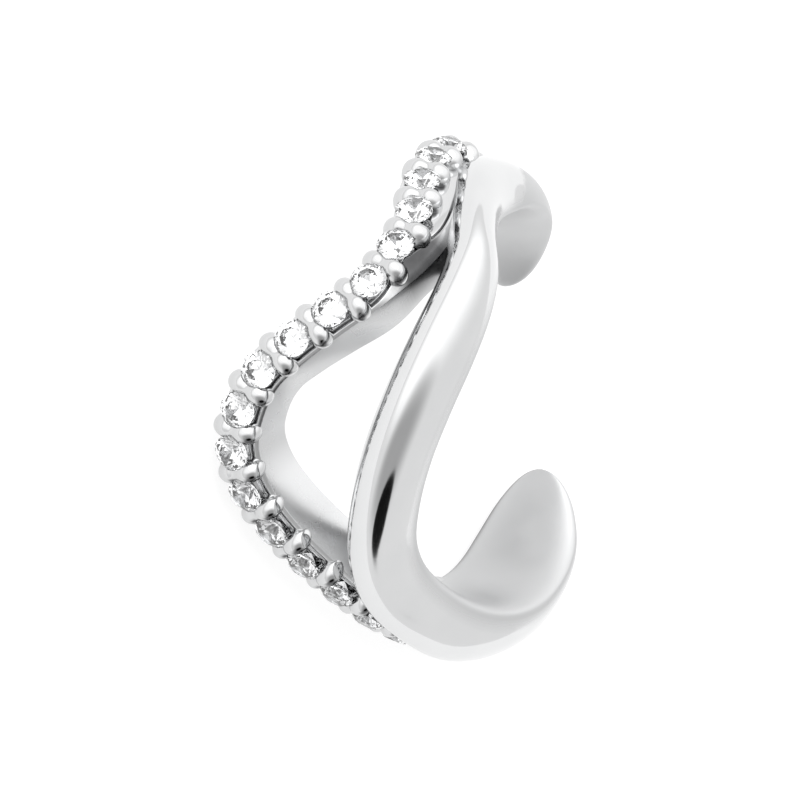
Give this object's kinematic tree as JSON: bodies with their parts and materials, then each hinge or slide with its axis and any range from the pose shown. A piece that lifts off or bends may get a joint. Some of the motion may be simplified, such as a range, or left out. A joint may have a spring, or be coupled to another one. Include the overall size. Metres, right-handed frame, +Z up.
{
  "type": "ear cuff",
  "caption": "Open silver ear cuff: a plain domed band and a wavy rail of round brilliants that split at the front.",
  "frame": {"origin": "middle of the footprint, on the surface that the cuff lies on", "axes": "+Z up from that surface, -Y towards the front where the two strands run, +X towards the lower free end"},
  "size_m": [0.0142, 0.012, 0.0068],
  "materials": {
    "polished_silver": "polished outside, satin on the inner face",
    "clear_stone": "polished facets"
  },
  "bodies": {
    "root": {"cuff_body": "polished_silver", "stone_01": "clear_stone", "stone_02": "clear_stone", "stone_03": "clear_stone", "stone_04": "clear_stone", "stone_05": "clear_stone", "stone_06": "clear_stone", "stone_07": "clear_stone", "stone_08": "clear_stone", "stone_09": "clear_stone", "stone_10": "clear_stone", "stone_11": "clear_stone", "stone_12": "clear_stone", "stone_13": "clear_stone", "stone_14": "clear_stone", "stone_15": "clear_stone", "stone_16": "clear_stone", "stone_17": "clear_stone"}
  },
  "joints": []
}
